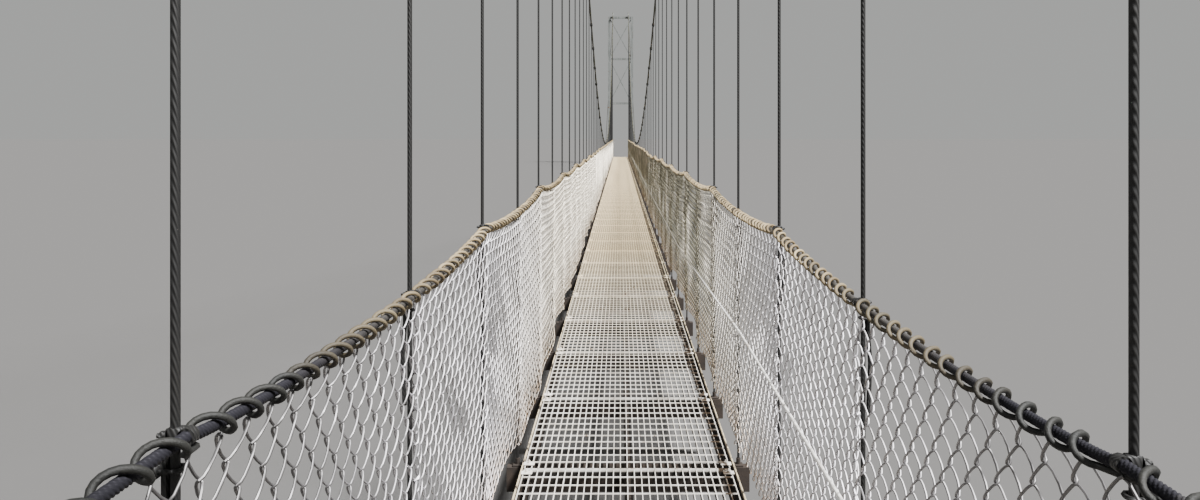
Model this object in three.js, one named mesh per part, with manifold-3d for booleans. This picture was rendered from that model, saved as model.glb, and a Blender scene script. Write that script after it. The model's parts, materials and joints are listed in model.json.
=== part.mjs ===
// Rope suspension footbridge: steel rope main cables over two portal towers, hangers,
// a bar-grating deck on channel cross-beams, and wire mesh sides under rope handrails.
// X is across the deck, Y along it, Z up. The towers stand on the ground at z = 0.
// Sizes are those of the real bridge in millimetres; real() brings them to the 1:2 model.
import * as THREE from 'three';
import { mergeVertices } from 'three/addons/utils/BufferGeometryUtils.js';
import Module from 'manifold-3d';

const MODEL_SCALE = 1 / 2;
const real = (mm) => mm * MODEL_SCALE;
const FIT = 0.3;

// Span and deck
const BAY = real(1200);
const BAYS = 56;
const BAYS_PER_SECTION = 8;
const SECTIONS = BAYS / BAYS_PER_SECTION;
const HALF_SPAN = (BAY * BAYS) / 2;
const DECK_TOP = real(450);
const DECK_HALF_WIDTH = real(510);
const GRATING_DEPTH = real(30);
const ANGLE_LEG = real(50);
const ANGLE_THICK = real(6);
const ANGLE_PROUD = real(3);
const STRINGER_WIDTH = real(36);
const STRINGER_DEPTH = real(40);
const SINK = real(2);

// Cross-beams: channels hung from the hangers, with the centre stringer and edge angles on them
const BEAM_HALF_LENGTH = real(605);
const BEAM_DEPTH = real(120);
const BEAM_WIDTH = real(60);
const BEAM_WALL = real(8);
const BEAM_TOP = DECK_TOP - GRATING_DEPTH - STRINGER_DEPTH;
const SECTION_LEAD = BEAM_WIDTH / 2 + real(20);

// Sides: handrail rope, mesh and the rope at mid height on the right
const RAIL_X = real(538);
const RAIL_HEIGHT = real(1212);
const RAIL_Z = DECK_TOP + RAIL_HEIGHT;
const RAIL_DIAMETER = real(16);
const RAIL_SAG = real(44);
const RAIL_SAG_SHAPE = 0.7;
const RAIL_STEPS = 2;
const RAIL_LIFTS = {
  left: [28, 32, 48, 34, 40, 28, 36].map(real),
  right: [-4, 26, 46, 44, 30, 38, 24].map(real),
};
const CLAMP_LENGTH = real(36);
const CLAMP_HEIGHT = real(32);
const CLAMP_INNER_X = real(524);
const MESH_X = real(539);
const MESH_THICK = real(15);
const MESH_BAR = real(40);
const MID_ROPE_DIAMETER = real(11);
const MID_ROPE_LOW = real(505);
const MID_ROPE_HIGH = real(655);
const MID_ROPE_LEVEL = real(4800);
const MID_ROPE_FALL = real(4500);

// Main cables and hangers
const CABLE_X = real(553);
const CABLE_DIAMETER = real(32);
const CABLE_LOW_Z = RAIL_Z + real(85);
const CABLE_CURVE = 0.008 / (1000 * MODEL_SCALE);
const CABLE_LEAD = real(150);
const HANGER_DIAMETER = real(12);

// Towers
const TOWER_Y = HALF_SPAN + real(300);
const LEG_X = real(815);
const LEG = real(180);
const BASE_PLATE = real(380);
const BASE_PLATE_THICK = real(25);
const LINTEL_HEIGHT = real(3800);
const MIDDLE_BEAM_HEIGHT = real(7000);
const TOWER_BEAM = real(140);
const BRACE = real(60);
const RAIL_POST = real(50);
const RAIL_POST_X = real(543);
const RAIL_POST_ABOVE = real(60);
const RAIL_BRACKETS = [real(300), real(1150)];
const SADDLE_RADIUS = real(270);
const SADDLE_WIDTH = real(70);
const SADDLE_STEPS = 8;
const SADDLE_SEAT = real(40);

// Concrete
const ABUTMENT_HALF_WIDTH = real(1200);
const ABUTMENT_FRONT = HALF_SPAN - real(350);
const LANDING_FRONT = HALF_SPAN + real(50);
const LANDING_BACK = HALF_SPAN + real(1400);
const STEP_RISE = DECK_TOP / 3;
const STEP_GOING = real(300);
const ANCHOR_X = real(1150);
const ANCHOR_FRONT = HALF_SPAN + real(3900);
const ANCHOR_BACK = HALF_SPAN + real(6000);
const ANCHOR_WIDTH = real(900);
const ANCHOR_HEIGHT = real(900);
const ANCHOR_POINT_Y = HALF_SPAN + real(4800);
const ANCHOR_PLATE = real(320);
const ANCHOR_PLATE_THICK = real(25);
const LUG_THICK = real(40);
const LUG_WIDTH = real(110);
const LUG_LENGTH = real(260);
const LUG_RISE = real(208);

const COLOURS = {
  grating: { color: 0xa8a5a3, roughness: 0.6, metalness: 0.7 },
  frame: { color: 0x6b4a35, roughness: 0.85, metalness: 0.2 },
  mesh: { color: 0xa9aa9d, roughness: 0.5, metalness: 0.7 },
  rope: { color: 0x8b7f68, roughness: 0.7, metalness: 0.4 },
  cable: { color: 0x3a3833, roughness: 0.7, metalness: 0.5 },
  tower: { color: 0x6d706b, roughness: 0.6, metalness: 0.5 },
  concrete: { color: 0x9b968a, roughness: 0.95, metalness: 0.0 },
};

const wasm = await Module();
wasm.setup();

function solidOf(geometry) {
  const plain = geometry.index ? geometry.toNonIndexed() : geometry.clone();
  plain.deleteAttribute('normal');
  plain.deleteAttribute('uv');
  const merged = mergeVertices(plain, 1e-4);
  const mesh = new wasm.Mesh({
    numProp: 3,
    vertProperties: Float32Array.from(merged.attributes.position.array),
    triVerts: Uint32Array.from(merged.index.array),
  });
  return new wasm.Manifold(mesh);
}

function geometryOf(body) {
  const mesh = body.getMesh();
  const result = new THREE.BufferGeometry();
  result.setAttribute('position', new THREE.BufferAttribute(mesh.vertProperties, 3));
  result.setIndex(new THREE.BufferAttribute(mesh.triVerts, 1));
  result.computeVertexNormals();
  return result;
}

function joined(geometries) {
  let body = solidOf(geometries[0]);
  for (const geometry of geometries.slice(1)) {
    body = body.add(solidOf(geometry));
  }
  return geometryOf(body);
}

function boxBetween(low, high) {
  const size = high.map((value, i) => value - low[i]);
  const box = new THREE.BoxGeometry(size[0], size[1], size[2]);
  box.translate(low[0] + size[0] / 2, low[1] + size[1] / 2, low[2] + size[2] / 2);
  return box;
}

function barBetween(from, to, thickness) {
  const start = new THREE.Vector3(...from);
  const end = new THREE.Vector3(...to);
  const along = end.clone().sub(start);
  const bar = new THREE.BoxGeometry(thickness, thickness, along.length());
  const turn = new THREE.Quaternion();
  turn.setFromUnitVectors(new THREE.Vector3(0, 0, 1), along.clone().normalize());
  bar.applyQuaternion(turn);
  const middle = start.clone().add(end).multiplyScalar(0.5);
  bar.translate(middle.x, middle.y, middle.z);
  return bar;
}

// A rope's centre line through given points, one step of the sweep per point.
class RopeLine extends THREE.Curve {
  constructor(points) {
    super();
    this.points = points;
  }

  getPoint(t, target = new THREE.Vector3()) {
    const place = t * (this.points.length - 1);
    const first = Math.min(Math.floor(place), this.points.length - 2);
    return target.lerpVectors(this.points[first], this.points[first + 1], place - first);
  }

  getPointAt(u, target) {
    return this.getPoint(u, target);
  }

  getTangentAt(u, target = new THREE.Vector3()) {
    const index = Math.round(u * (this.points.length - 1));
    const before = this.points[Math.max(index - 1, 0)];
    const after = this.points[Math.min(index + 1, this.points.length - 1)];
    return target.subVectors(after, before).normalize();
  }
}

function ropeAlong(points, diameter, sides = 8) {
  const round = new THREE.Shape();
  for (let i = 0; i < sides; i += 1) {
    const angle = ((i + 0.5) / sides) * 2 * Math.PI;
    const x = (Math.cos(angle) * diameter) / 2;
    const y = (Math.sin(angle) * diameter) / 2;
    if (i === 0) {
      round.moveTo(x, y);
    } else {
      round.lineTo(x, y);
    }
  }
  round.closePath();
  return new THREE.ExtrudeGeometry(round, {
    steps: points.length - 1,
    extrudePath: new RopeLine(points),
    bevelEnabled: false,
  });
}

function cylinderUp(x, y, low, high, diameter, sides = 6) {
  const cylinder = new THREE.CylinderGeometry(diameter / 2, diameter / 2, high - low, sides);
  cylinder.rotateX(Math.PI / 2);
  cylinder.translate(x, y, (low + high) / 2);
  return cylinder;
}

function cableHeight(y) {
  return CABLE_LOW_Z + CABLE_CURVE * y * y;
}

// Where each cable rests on its saddle and where its back-stay leaves it.
const wrapRadius = SADDLE_RADIUS + CABLE_DIAMETER / 2 + FIT;
const spanAngle = Math.atan(2 * CABLE_CURVE * (TOWER_Y - wrapRadius / 2));
const saddleMeetY = TOWER_Y - wrapRadius * Math.sin(spanAngle);
const SADDLE_Z = cableHeight(saddleMeetY) - wrapRadius * Math.cos(spanAngle);
const LUG_TOP_Z = ANCHOR_HEIGHT + ANCHOR_PLATE_THICK + LUG_RISE;
const toAnchor = Math.hypot(ANCHOR_POINT_Y - TOWER_Y, SADDLE_Z - LUG_TOP_Z);
const dropAngle = Math.atan2(SADDLE_Z - LUG_TOP_Z, ANCHOR_POINT_Y - TOWER_Y);
const stayAngle = dropAngle + Math.asin(wrapRadius / toAnchor);

// One half of a cable's centre line, from its lowest point out to the anchor.
function halfCable(side) {
  const points = [];
  for (let i = 0; i <= BAYS / 2; i += 1) {
    const y = Math.min(i * BAY, saddleMeetY - CABLE_LEAD);
    points.push(new THREE.Vector3(side * CABLE_X, y, cableHeight(y)));
  }
  for (let i = 0; i <= SADDLE_STEPS; i += 1) {
    const angle = -spanAngle + ((spanAngle + stayAngle) * i) / SADDLE_STEPS;
    const y = TOWER_Y + wrapRadius * Math.sin(angle);
    const z = SADDLE_Z + wrapRadius * Math.cos(angle);
    points.push(new THREE.Vector3(side * CABLE_X, y, z));
  }
  points.push(new THREE.Vector3(side * ANCHOR_X, ANCHOR_POINT_Y, LUG_TOP_Z));
  return points;
}

function mirroredAlong(points) {
  const far = points.slice(1);
  const near = far.map((point) => new THREE.Vector3(point.x, -point.y, point.z)).reverse();
  return [...near, points[0], ...far];
}

const hangerPlaces = [];
for (let i = 1; i < BAYS; i += 1) {
  hangerPlaces.push(-HALF_SPAN + i * BAY);
}

function cableWithHangers(side) {
  const pieces = [ropeAlong(mirroredAlong(halfCable(side)), CABLE_DIAMETER)];
  for (const y of hangerPlaces) {
    pieces.push(cylinderUp(side * CABLE_X, y, BEAM_TOP + FIT, cableHeight(y), HANGER_DIAMETER));
  }
  return joined(pieces);
}

// The handrail is drawn up at every other hanger, from the first on, and sags over the two bays between.
function railHeight(y, side) {
  const place = (THREE.MathUtils.clamp((y + HALF_SPAN) / BAY, 1, BAYS - 1) - 1) / 2;
  const stretch = Math.min(Math.floor(place), BAYS / 2 - 2);
  const lifts = side < 0 ? RAIL_LIFTS.left : RAIL_LIFTS.right;
  const liftAt = (i) => lifts[i % lifts.length];
  const part = place - stretch;
  const held = THREE.MathUtils.lerp(liftAt(stretch), liftAt(stretch + 1), part);
  return RAIL_Z + held - RAIL_SAG * Math.max(4 * part * (1 - part), 0) ** RAIL_SAG_SHAPE;
}

function railPlaces(low, high) {
  const places = [low];
  for (let i = 0; i <= BAYS * RAIL_STEPS; i += 1) {
    const y = -HALF_SPAN + (i * BAY) / RAIL_STEPS;
    if (y > low && y < high) {
      places.push(y);
    }
  }
  places.push(high);
  return places;
}

function handrail(side) {
  const end = TOWER_Y - RAIL_POST / 2 - FIT;
  const line = railPlaces(-end, end).map((y) => new THREE.Vector3(side * RAIL_X, y, railHeight(y, side)));
  const pieces = [ropeAlong(line, RAIL_DIAMETER, 6)];
  const outer = CABLE_X - HANGER_DIAMETER / 2 - FIT;
  const across = [side * CLAMP_INNER_X, side * outer].sort((a, b) => a - b);
  for (const y of hangerPlaces) {
    const middle = railHeight(y, side);
    const low = [across[0], y - CLAMP_LENGTH / 2, middle - CLAMP_HEIGHT / 2];
    const high = [across[1], y + CLAMP_LENGTH / 2, middle + CLAMP_HEIGHT / 2];
    pieces.push(boxBetween(low, high));
  }
  return joined(pieces);
}

// The rope at mid height runs level from each tower, then falls to its low stretch along the middle.
function midRope(side) {
  const x = side * (MESH_X - MESH_THICK / 2 - MID_ROPE_DIAMETER / 2 - FIT);
  const end = TOWER_Y - RAIL_POST / 2 - FIT;
  const bend = end - MID_ROPE_LEVEL;
  const foot = bend - MID_ROPE_FALL;
  const line = [
    [-end, MID_ROPE_HIGH],
    [-bend, MID_ROPE_HIGH],
    [-foot, MID_ROPE_LOW],
    [foot, MID_ROPE_LOW],
    [bend, MID_ROPE_HIGH],
    [end, MID_ROPE_HIGH],
  ];
  const points = line.map(([y, height]) => new THREE.Vector3(x, y, DECK_TOP + height));
  return ropeAlong(points, MID_ROPE_DIAMETER);
}

// The deck and sides are cut into sections of equal length; the last one takes the last beam.
function sectionLimits(index) {
  const low = -HALF_SPAN + index * BAYS_PER_SECTION * BAY - SECTION_LEAD;
  const last = index === SECTIONS - 1;
  const high = last ? HALF_SPAN + SECTION_LEAD : low + BAYS_PER_SECTION * BAY - FIT;
  return [low, high];
}

// A profile given as points of Y and Z, made into a slab that is centred on x.
function slabAcross(outline, x, thickness) {
  const shape = new THREE.Shape(outline.map(([y, z]) => new THREE.Vector2(y, z)));
  const slab = new THREE.ExtrudeGeometry(shape, { depth: thickness, bevelEnabled: false });
  slab.rotateX(Math.PI / 2);
  slab.rotateZ(Math.PI / 2);
  slab.translate(x - thickness / 2, 0, 0);
  return slab;
}

// A mesh side is a thin slab that opens twice in every bay, above and below a middle bar.
function meshSide(index, side) {
  const [low, high] = sectionLimits(index);
  const foot = BEAM_TOP + FIT;
  const headAt = (y) => railHeight(y, side) - CLAMP_HEIGHT / 2 - FIT;
  const head = railPlaces(low, high).map((y) => [y, headAt(y)]);
  const outline = [[high, foot], ...head.reverse(), [low, foot]];
  const lowerTop = (foot + RAIL_Z) / 2 - MESH_BAR / 2;
  const upperFoot = lowerTop + MESH_BAR;
  let body = solidOf(slabAcross(outline, side * MESH_X, MESH_THICK));
  const open = (points) => {
    body = body.subtract(solidOf(slabAcross(points, side * MESH_X, 2 * MESH_THICK)));
  };
  for (let i = 0; i < BAYS_PER_SECTION; i += 1) {
    const start = low + i * BAY + MESH_BAR / 2;
    const end = start + BAY - MESH_BAR;
    open([[start, foot + MESH_BAR], [end, foot + MESH_BAR], [end, lowerTop], [start, lowerTop]]);
    const upperTops = [[end, headAt(end) - MESH_BAR], [start, headAt(start) - MESH_BAR]];
    open([[start, upperFoot], [end, upperFoot], ...upperTops]);
  }
  return geometryOf(body);
}

function grating(index) {
  const [low, high] = sectionLimits(index);
  const halfWidth = DECK_HALF_WIDTH - ANGLE_THICK - FIT;
  return boxBetween([-halfWidth, low, DECK_TOP - GRATING_DEPTH + FIT], [halfWidth, high, DECK_TOP]);
}

function channel(y) {
  const shape = new THREE.Shape();
  const half = BEAM_WIDTH / 2;
  const wall = BEAM_WALL;
  shape.moveTo(-half, 0);
  shape.lineTo(half, 0);
  shape.lineTo(half, wall);
  shape.lineTo(-half + wall, wall);
  shape.lineTo(-half + wall, BEAM_DEPTH - wall);
  shape.lineTo(half, BEAM_DEPTH - wall);
  shape.lineTo(half, BEAM_DEPTH);
  shape.lineTo(-half, BEAM_DEPTH);
  shape.closePath();
  const beam = new THREE.ExtrudeGeometry(shape, { depth: 2 * BEAM_HALF_LENGTH, bevelEnabled: false });
  beam.rotateX(Math.PI / 2);
  beam.rotateZ(Math.PI / 2);
  beam.translate(-BEAM_HALF_LENGTH, y, BEAM_TOP - BEAM_DEPTH);
  return beam;
}

function deckFrame(index) {
  const [low, high] = sectionLimits(index);
  const beams = index === SECTIONS - 1 ? BAYS_PER_SECTION + 1 : BAYS_PER_SECTION;
  const pieces = [];
  for (let i = 0; i < beams; i += 1) {
    pieces.push(channel(-HALF_SPAN + (index * BAYS_PER_SECTION + i) * BAY));
  }
  for (const side of [-1, 1]) {
    const outer = side * DECK_HALF_WIDTH;
    const edges = (width) => [outer, outer - side * width].sort((a, b) => a - b);
    const lip = edges(ANGLE_THICK);
    const seat = edges(ANGLE_LEG);
    pieces.push(boxBetween([lip[0], low, BEAM_TOP - SINK], [lip[1], high, DECK_TOP + ANGLE_PROUD]));
    pieces.push(boxBetween([seat[0], low, BEAM_TOP - SINK], [seat[1], high, BEAM_TOP + ANGLE_THICK]));
  }
  const half = STRINGER_WIDTH / 2;
  pieces.push(boxBetween([-half, low, BEAM_TOP - SINK], [half, high, DECK_TOP - GRATING_DEPTH]));
  return joined(pieces);
}

function tower(end) {
  const y = end * TOWER_Y;
  const top = SADDLE_Z - SADDLE_SEAT;
  const pieces = [];
  const half = LEG / 2;
  const foot = DECK_TOP + FIT;
  for (const side of [-1, 1]) {
    const x = side * LEG_X;
    pieces.push(boxBetween([x - half, y - half, foot], [x + half, y + half, top]));
    const plate = BASE_PLATE / 2;
    pieces.push(boxBetween([x - plate, y - plate, foot], [x + plate, y + plate, foot + BASE_PLATE_THICK]));
    const postX = side * RAIL_POST_X;
    const post = RAIL_POST / 2;
    const postTop = RAIL_Z + RAIL_POST_ABOVE;
    pieces.push(boxBetween([postX - post, y - post, foot], [postX + post, y + post, postTop]));
    const reach = [postX, side * LEG_X].sort((a, b) => a - b);
    for (const height of RAIL_BRACKETS) {
      const z = DECK_TOP + height;
      pieces.push(boxBetween([reach[0], y - BRACE / 4, z], [reach[1], y + BRACE / 4, z + BRACE]));
    }
    const drum = new THREE.CylinderGeometry(SADDLE_RADIUS, SADDLE_RADIUS, SADDLE_WIDTH, 32);
    drum.rotateZ(Math.PI / 2);
    drum.translate(side * CABLE_X, y, SADDLE_Z);
    pieces.push(drum);
  }
  const beam = TOWER_BEAM / 2;
  const heights = [DECK_TOP + LINTEL_HEIGHT, DECK_TOP + MIDDLE_BEAM_HEIGHT, top - TOWER_BEAM];
  for (const z of heights) {
    const wide = z === heights[2] ? LEG_X + half : LEG_X;
    pieces.push(boxBetween([-wide, y - beam, z], [wide, y + beam, z + TOWER_BEAM]));
  }
  for (let i = 0; i < 2; i += 1) {
    const low = heights[i] + TOWER_BEAM / 2;
    const high = heights[i + 1] + TOWER_BEAM / 2;
    for (const side of [-1, 1]) {
      pieces.push(barBetween([side * LEG_X, y, low], [-side * LEG_X, y, high], BRACE));
    }
  }
  return joined(pieces);
}

function abutment(end) {
  const shelf = BEAM_TOP - BEAM_DEPTH - FIT;
  const outline = [
    [ABUTMENT_FRONT, 0],
    [LANDING_BACK + 2 * STEP_GOING, 0],
    [LANDING_BACK + 2 * STEP_GOING, STEP_RISE],
    [LANDING_BACK + STEP_GOING, STEP_RISE],
    [LANDING_BACK + STEP_GOING, 2 * STEP_RISE],
    [LANDING_BACK, 2 * STEP_RISE],
    [LANDING_BACK, DECK_TOP],
    [LANDING_FRONT, DECK_TOP],
    [LANDING_FRONT, shelf],
    [ABUTMENT_FRONT, shelf],
  ];
  const block = slabAcross(outline, 0, 2 * ABUTMENT_HALF_WIDTH);
  if (end < 0) {
    block.rotateZ(Math.PI);
  }
  return block;
}

function anchorBlock(end, side) {
  const x = side * ANCHOR_X;
  const ys = [end * ANCHOR_FRONT, end * ANCHOR_BACK].sort((a, b) => a - b);
  const half = ANCHOR_WIDTH / 2;
  return boxBetween([x - half, ys[0], 0], [x + half, ys[1], ANCHOR_HEIGHT]);
}

// The plate and lug that take one back-stay; the lug leans along the stay.
function anchorPlate(end, side) {
  const points = halfCable(side);
  const last = points[points.length - 1];
  const away = points[points.length - 2].clone().sub(last).normalize();
  const lugTop = last.clone().addScaledVector(away, -FIT);
  const centre = lugTop.clone().addScaledVector(away, -LUG_LENGTH / 2);
  const lug = new THREE.BoxGeometry(LUG_THICK, LUG_WIDTH, LUG_LENGTH);
  const turn = new THREE.Quaternion();
  turn.setFromUnitVectors(new THREE.Vector3(0, 0, 1), away);
  lug.applyQuaternion(turn);
  lug.translate(centre.x, centre.y, centre.z);
  const foot = lugTop.clone().addScaledVector(away, -LUG_LENGTH);
  const half = ANCHOR_PLATE / 2;
  const low = ANCHOR_HEIGHT + FIT;
  const high = low + ANCHOR_PLATE_THICK;
  const plate = boxBetween([foot.x - half, foot.y - half, low], [foot.x + half, foot.y + half, high]);
  const block = boxBetween([foot.x - half, foot.y - half, 0], [foot.x + half, foot.y + half, low]);
  let body = solidOf(lug).subtract(solidOf(block)).add(solidOf(plate));
  if (end < 0) {
    body = body.mirror([0, 1, 0]);
  }
  return geometryOf(body);
}

const bridge = new THREE.Group();
bridge.name = 'rope_suspension_footbridge';

function place(name, geometry, look) {
  const mesh = new THREE.Mesh(geometry, new THREE.MeshStandardMaterial(COLOURS[look]));
  mesh.name = name;
  bridge.add(mesh);
}

const SIDES = { left: -1, right: 1 };
const ENDS = { near: -1, far: 1 };

for (let i = 0; i < SECTIONS; i += 1) {
  place(`deck_grating_${i + 1}`, grating(i), 'grating');
  place(`deck_frame_${i + 1}`, deckFrame(i), 'frame');
  place(`mesh_left_${i + 1}`, meshSide(i, -1), 'mesh');
  place(`mesh_right_${i + 1}`, meshSide(i, 1), 'mesh');
}
for (const [sideName, side] of Object.entries(SIDES)) {
  place(`main_cable_and_hangers_${sideName}`, cableWithHangers(side), 'cable');
  place(`handrail_rope_${sideName}`, handrail(side), 'rope');
}
place('middle_rope_right', midRope(1), 'rope');
for (const [endName, end] of Object.entries(ENDS)) {
  place(`tower_${endName}`, tower(end), 'tower');
  place(`abutment_${endName}`, abutment(end), 'concrete');
  for (const [sideName, side] of Object.entries(SIDES)) {
    place(`anchor_block_${endName}_${sideName}`, anchorBlock(end, side), 'concrete');
    place(`anchor_plate_${endName}_${sideName}`, anchorPlate(end, side), 'tower');
  }
}

export default bridge;
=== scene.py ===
"""Looks of the rope suspension footbridge, built around its packed 1:2 model.

X runs across the deck, Y along it from the near end to the far one, Z up, all in metres.
Sizes are those of the real bridge in millimetres; real() brings them to the 1:2 model.
"""
import json
import math
import random

import bpy
import numpy as np
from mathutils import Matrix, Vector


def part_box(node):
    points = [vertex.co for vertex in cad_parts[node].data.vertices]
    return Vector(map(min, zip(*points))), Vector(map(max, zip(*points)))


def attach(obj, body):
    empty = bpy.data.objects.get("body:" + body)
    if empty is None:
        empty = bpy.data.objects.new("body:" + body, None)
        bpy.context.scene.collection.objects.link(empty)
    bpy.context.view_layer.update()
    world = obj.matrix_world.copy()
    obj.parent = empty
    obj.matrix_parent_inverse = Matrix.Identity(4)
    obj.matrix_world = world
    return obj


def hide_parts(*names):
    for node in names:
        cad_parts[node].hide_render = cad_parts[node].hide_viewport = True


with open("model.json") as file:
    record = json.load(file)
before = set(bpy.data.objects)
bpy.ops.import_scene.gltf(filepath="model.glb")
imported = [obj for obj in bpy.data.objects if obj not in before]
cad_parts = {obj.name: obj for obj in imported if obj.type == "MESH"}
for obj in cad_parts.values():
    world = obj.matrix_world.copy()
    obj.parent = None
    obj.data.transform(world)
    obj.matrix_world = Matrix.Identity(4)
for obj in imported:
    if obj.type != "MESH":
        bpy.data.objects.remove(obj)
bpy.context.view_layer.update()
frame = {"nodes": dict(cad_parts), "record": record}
random.seed(7)

MODEL_SCALE = 1 / 2


def real(millimetres):
    """A length of the real bridge, in metres of the model."""
    return millimetres * MODEL_SCALE / 1000


# Camera, solved from the photograph's vanishing point and the deck's width
PHOTO_WIDTH = 1200
PHOTO_CENTRE = (600, 250)
VANISHING_POINT = (620, 135)
SENSOR = 36.0
FOCAL = 28.0
EYE_ABOVE_DECK = real(1587)
EYE_X = real(-40)
EYE_INTO_SPAN = real(123)

# The bridge, as the part's source has it
FIT = 0.0003
BAY = real(1200)
BAYS = 56
BAYS_PER_SECTION = 8
SECTIONS = BAYS // BAYS_PER_SECTION
HALF_SPAN = BAY * BAYS / 2
DECK_TOP = real(450)
GRATING_DEPTH = real(30)
BEAM_TOP = real(380)
RAIL_X = real(538)
RAIL_Z = DECK_TOP + real(1212)
RAIL_DIAMETER = real(16)
RAIL_SAG = real(44)
RAIL_SAG_SHAPE = 0.7
RAIL_LIFTS = {
    -1: [real(lift) for lift in (28, 32, 48, 34, 40, 28, 36)],
    1: [real(lift) for lift in (-4, 26, 46, 44, 30, 38, 24)],
}
MESH_X = real(539)
MID_ROPE_DIAMETER = real(11)
MID_ROPE_LOW = real(505)
MID_ROPE_HIGH = real(655)
MID_ROPE_LEVEL = real(4800)
MID_ROPE_FALL = real(4500)
CABLE_X = real(553)
CABLE_DIAMETER = real(32)
CABLE_ACROSS_FLATS = CABLE_DIAMETER * math.cos(math.pi / 8)
CABLE_LOW_Z = RAIL_Z + real(85)
CABLE_CURVE = 0.008 / MODEL_SCALE
CABLE_LEAD = real(150)
HANGER_DIAMETER = real(12)
TOWER_Y = HALF_SPAN + real(300)
RAIL_POST = real(50)
RAIL_END_Y = TOWER_Y - RAIL_POST / 2 - FIT
SADDLE_RADIUS = real(270)
SADDLE_STEPS = 8
LEG_X = real(815)
BASE_PLATE_TOP = DECK_TOP + real(25)
ANCHOR_X = real(1150)
ANCHOR_POINT_Y = HALF_SPAN + real(4800)
ANCHOR_PLATE_TOP = real(900) + real(25)
LUG_TOP_Z = ANCHOR_PLATE_TOP + real(208)

SIDES = {"left": -1, "right": 1}
ENDS = {"near": -1, "far": 1}
HANGERS = [-HALF_SPAN + i * BAY for i in range(1, BAYS)]

# How far apart a Wave texture's bands lie at a scale of 1
DIAGONAL_BANDS = math.pi / 5
STRAIGHT_BANDS = math.pi / 10


def from_near_end(millimetres):
    """A place along the real deck, counted from its near end."""
    return -HALF_SPAN + real(millimetres)


def linear(hex_colour):
    """An sRGB hex colour as the linear values that Blender's sockets take."""
    values = [int(hex_colour[i : i + 2], 16) / 255 for i in (0, 2, 4)]
    return [v / 12.92 if v <= 0.04045 else ((v + 0.055) / 1.055) ** 2.4 for v in values] + [1.0]


def add(tree, kind, inputs=None, **settings):
    """Adds a node with its settings; an input is a value or another node's socket."""
    made = tree.nodes.new(kind)
    for key, value in settings.items():
        setattr(made, key, value)
    for key, value in (inputs or {}).items():
        if isinstance(value, bpy.types.NodeSocket):
            tree.links.new(value, made.inputs[key])
        else:
            made.inputs[key].default_value = value
    return made


def new_material(name, roughness, metallic):
    """A material with a Principled surface; returns it with its tree, shader and coordinates."""
    material = bpy.data.materials.new(name)
    material.use_nodes = True
    tree = material.node_tree
    shader = tree.nodes["Principled BSDF"]
    shader.inputs["Roughness"].default_value = roughness
    shader.inputs["Metallic"].default_value = metallic
    coordinates = add(tree, "ShaderNodeTexCoord").outputs["Object"]
    return material, tree, shader, coordinates


def patches(tree, coordinates, size, low, high):
    """Blotches of about the given size in metres, as a factor from 0 to 1."""
    noise = add(tree, "ShaderNodeTexNoise", {"Vector": coordinates, "Scale": 1 / size, "Detail": 4.0})
    limits = {"Value": noise.outputs["Fac"], "From Min": low, "From Max": high}
    return add(tree, "ShaderNodeMapRange", limits).outputs["Result"]


def ramp(tree, coordinates, axis, start, end):
    """A factor that goes from 0 at one place along an axis to 1 at another, in metres."""
    place = add(tree, "ShaderNodeSeparateXYZ", {"Vector": coordinates}).outputs[axis]
    limits = {"Value": place, "From Min": start, "From Max": end}
    return add(tree, "ShaderNodeMapRange", limits).outputs["Result"]


def both(tree, first, second):
    """Two factors multiplied."""
    return add(tree, "ShaderNodeMath", {0: first, 1: second}, operation="MULTIPLY").outputs["Value"]


def blend(tree, factor, first, second):
    """Mixes two colours, each a hex string or a socket, by a factor socket."""
    mix = add(tree, "ShaderNodeMix", data_type="RGBA")
    tree.links.new(factor, mix.inputs[0])
    for slot, colour in ((6, first), (7, second)):
        if isinstance(colour, str):
            mix.inputs[slot].default_value = linear(colour)
        else:
            tree.links.new(colour, mix.inputs[slot])
    return mix.outputs[2]


def rough_surface(tree, shader, height, distance):
    """Bumps a shader by a height socket; distance is the relief in metres."""
    bump = {"Height": height, "Distance": distance, "Strength": 0.5}
    tree.links.new(add(tree, "ShaderNodeBump", bump).outputs["Normal"], shader.inputs["Normal"])


def strand_stripes(tree, coordinates, axis, strand_pitch, around):
    """Slanting stripes of a rope's strands; pitch along the rope, stripe spacing round it."""
    scales = [DIAGONAL_BANDS / around] * 3
    scales[axis] = DIAGONAL_BANDS / strand_pitch
    turned = add(tree, "ShaderNodeMapping", {"Vector": coordinates, "Scale": scales})
    inputs = {"Vector": turned.outputs["Vector"], "Scale": 1.0}
    return add(tree, "ShaderNodeTexWave", inputs, bands_direction="DIAGONAL").outputs["Fac"]


def galvanised_grating():
    """Galvanised mild steel: worn pale on top and dusty far out; the sides below the top and a strip
    along the right edge are painted dark as shade.
    """
    material, tree, shader, coordinates = new_material("galvanised_steel_grating", 0.55, 0.15)
    zinc = blend(tree, patches(tree, coordinates, real(90), 0.35, 0.65), "efebe4", "cdc6ba")
    rust = patches(tree, coordinates, real(30), 0.63, 0.74)
    far_out = ramp(tree, coordinates, "Y", from_near_end(6000), from_near_end(13000))
    rusty = blend(tree, rust, blend(tree, far_out, zinc, "e9d5ae"), "8c6b52")
    # A strip of the grating along the right edge is painted dark brown and mottled, as the shade of the
    # right mesh and handrail.
    strip = both(
        tree,
        ramp(tree, coordinates, "X", real(424), real(430)),
        ramp(tree, coordinates, "X", real(480), real(476)),
    )
    right_edge_shade = both(tree, strip, patches(tree, coordinates, real(45), 0.3, 0.5))
    top = blend(tree, right_edge_shade, rusty, "4a3d30")
    # Below the top few millimetres, the sides of the bars and end flats are painted near-black as
    # shade.
    above_painted_shade = ramp(tree, coordinates, "Z", DECK_TOP - real(14), DECK_TOP - real(7))
    tree.links.new(blend(tree, above_painted_shade, "1f1c19", top), shader.inputs["Base Color"])
    rough_surface(tree, shader, patches(tree, coordinates, real(4), 0.3, 0.7), real(0.4))
    return material


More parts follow.
